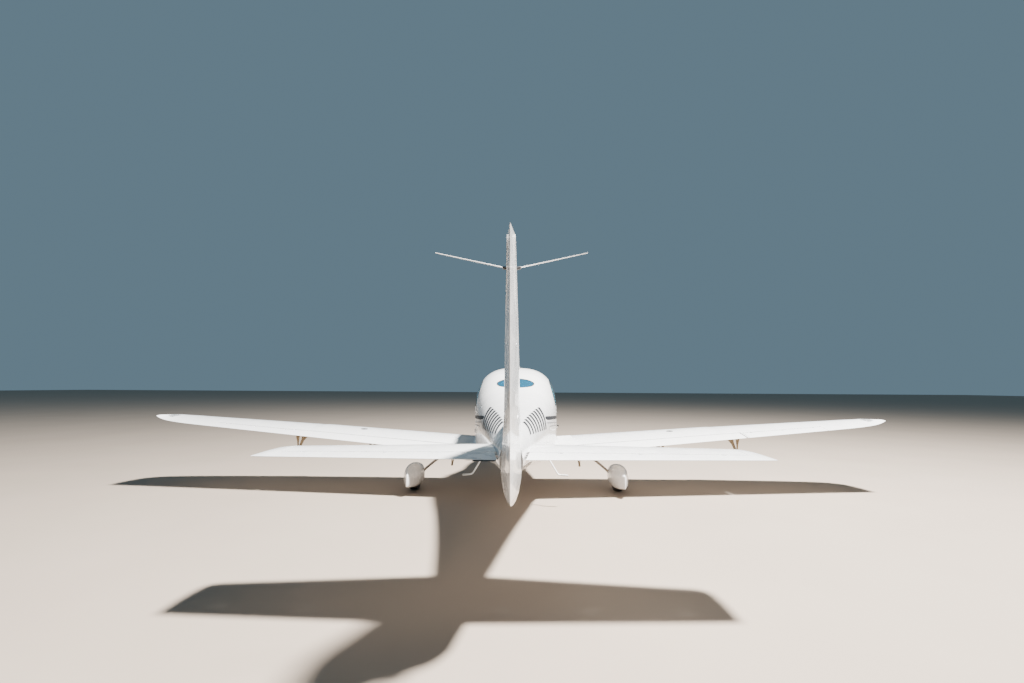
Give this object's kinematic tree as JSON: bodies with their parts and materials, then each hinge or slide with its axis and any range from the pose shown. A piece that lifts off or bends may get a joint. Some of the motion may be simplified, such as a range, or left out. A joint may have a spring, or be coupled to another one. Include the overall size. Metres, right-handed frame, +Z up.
{
  "type": "low-wing light aircraft",
  "caption": "Single-engine composite light aircraft with a low wing, fixed nose-wheel gear in fairings, an enclosed cabin and opening doors.",
  "frame": {"origin": "bottom centre of the bounding box, on the ground under the middle of the aircraft", "axes": "+X to starboard, +Y forward to the propeller, +Z up"},
  "size_m": [11.692, 7.9197, 2.671],
  "materials": {
    "white_paint": "gloss",
    "glazing": "gloss",
    "panel_plastic": "matte",
    "carpet": "matte",
    "seat_leather": "satin",
    "engine_iron": "satin",
    "steel": "satin",
    "blade_paint": "satin",
    "wheel_alloy": "satin",
    "tyre_rubber": "matte"
  },
  "bodies": {
    "airframe": {"fuselage_right_half": "white_paint", "fuselage_left_half": "white_paint", "firewall": "steel", "cabin_floor": "carpet", "rear_bulkhead": "carpet", "windshield": "glazing", "rear_window": "glazing", "rear_side_window_right": "glazing", "rear_side_window_left": "glazing", "instrument_panel": "panel_plastic", "front_seat_right": "seat_leather", "front_seat_left": "seat_leather", "rear_seat": "seat_leather", "cowl_upper": "white_paint", "cowl_lower": "white_paint", "engine_block": "engine_iron", "exhaust": "steel", "wing_right": "white_paint", "wing_left": "white_paint", "horizontal_stabilizer": "white_paint", "fin": "white_paint", "nav_antenna": "white_paint", "com_antenna": "white_paint", "pitot_tube": "steel", "main_gear_leg_right": "white_paint", "main_gear_leg_left": "white_paint", "wheel_pant_right": "white_paint", "wheel_pant_left": "white_paint", "nose_gear_strut": "steel", "step_right": "white_paint", "step_left": "white_paint"},
    "flap_r": {"flap_right": "white_paint"},
    "flap_l": {"flap_left": "white_paint"},
    "aileron_r": {"aileron_right": "white_paint"},
    "aileron_l": {"aileron_left": "white_paint"},
    "elevator": {"elevator_right": "white_paint", "elevator_left": "white_paint", "elevator_torque_tube": "steel"},
    "rudder_body": {"rudder": "white_paint"},
    "main_wheel_r": {"main_tyre_right": "tyre_rubber", "main_wheel_right": "wheel_alloy"},
    "main_wheel_l": {"main_tyre_left": "tyre_rubber", "main_wheel_left": "wheel_alloy"},
    "nose_caster": {"nose_fork": "steel", "nose_pant": "white_paint"},
    "nose_wheel_body": {"nose_tyre": "tyre_rubber", "nose_wheel": "wheel_alloy"},
    "door_r": {"door_right": "white_paint", "door_window_right": "glazing"},
    "door_l": {"door_left": "white_paint", "door_window_left": "glazing"},
    "baggage_door_body": {"baggage_door": "white_paint"},
    "propeller_body": {"propeller": "blade_paint", "spinner": "white_paint"}
  },
  "joints": [
    {"name": "propeller_spin", "type": "hinge", "parent": "airframe", "child": "propeller_body", "pos_m": [0, 3.755, 1.17], "axis": [0, 1, 0], "continuous": true},
    {"name": "main_wheel_right_spin", "type": "hinge", "parent": "airframe", "child": "main_wheel_r", "pos_m": [1.64, 1.07, 0.193], "axis": [1, 0, 0], "continuous": true},
    {"name": "main_wheel_left_spin", "type": "hinge", "parent": "airframe", "child": "main_wheel_l", "pos_m": [-1.64, 1.07, 0.193], "axis": [1, 0, 0], "continuous": true},
    {"name": "nose_caster_pivot", "type": "hinge", "parent": "airframe", "child": "nose_caster", "pos_m": [0, 3.5, 0.42], "axis": [0, 0, 1], "range_deg": [-85, 85]},
    {"name": "nose_wheel_spin", "type": "hinge", "parent": "nose_caster", "child": "nose_wheel_body", "pos_m": [0, 3.345, 0.18], "axis": [1, 0, 0], "continuous": true},
    {"name": "rudder_hinge", "type": "hinge", "parent": "airframe", "child": "rudder_body", "pos_m": [0, -3.09, 0.85], "axis": [0, -0.3074, 0.9516], "range_deg": [-20, 20]},
    {"name": "elevator_hinge", "type": "hinge", "parent": "airframe", "child": "elevator", "pos_m": [0, -2.91, 1.135], "axis": [-1, 0, 0], "range_deg": [-15, 25]},
    {"name": "aileron_right_hinge", "type": "hinge", "parent": "airframe", "child": "aileron_r", "pos_m": [3.602, 0.905, 0.9216], "axis": [0.9936, 0.0807, 0.0796], "range_deg": [-12.5, 12.5]},
    {"name": "aileron_left_hinge", "type": "hinge", "parent": "airframe", "child": "aileron_l", "pos_m": [-3.602, 0.905, 0.9216], "axis": [0.9936, -0.0807, -0.0796], "range_deg": [-12.5, 12.5]},
    {"name": "flap_right_hinge", "type": "hinge", "parent": "airframe", "child": "flap_r", "pos_m": [0.668, 0.695, 0.4277], "axis": [0.9942, 0.0741, 0.0779], "range_deg": [0, 32]},
    {"name": "flap_left_hinge", "type": "hinge", "parent": "airframe", "child": "flap_l", "pos_m": [-0.668, 0.695, 0.4277], "axis": [0.9942, -0.0741, -0.0779], "range_deg": [0, 32]},
    {"name": "door_right_hinge", "type": "hinge", "parent": "airframe", "child": "door_r", "pos_m": [0.61297, 1.95, 1.366], "axis": [-0.1026, -0.6581, 0.7459], "range_deg": [0, 70]},
    {"name": "door_left_hinge", "type": "hinge", "parent": "airframe", "child": "door_l", "pos_m": [-0.61297, 1.95, 1.366], "axis": [-0.1026, 0.6581, -0.7459], "range_deg": [0, 70]},
    {"name": "baggage_door_hinge", "type": "hinge", "parent": "airframe", "child": "baggage_door_body", "pos_m": [-0.55673, -0.141, 1.06], "axis": [-0.024, 0, -0.9997], "range_deg": [0, 100]}
  ],
  "couplings": [
    {"joint": "aileron_left_hinge", "follows": "aileron_right_hinge", "ratio": -1},
    {"joint": "flap_left_hinge", "follows": "flap_right_hinge", "ratio": 1}
  ]
}
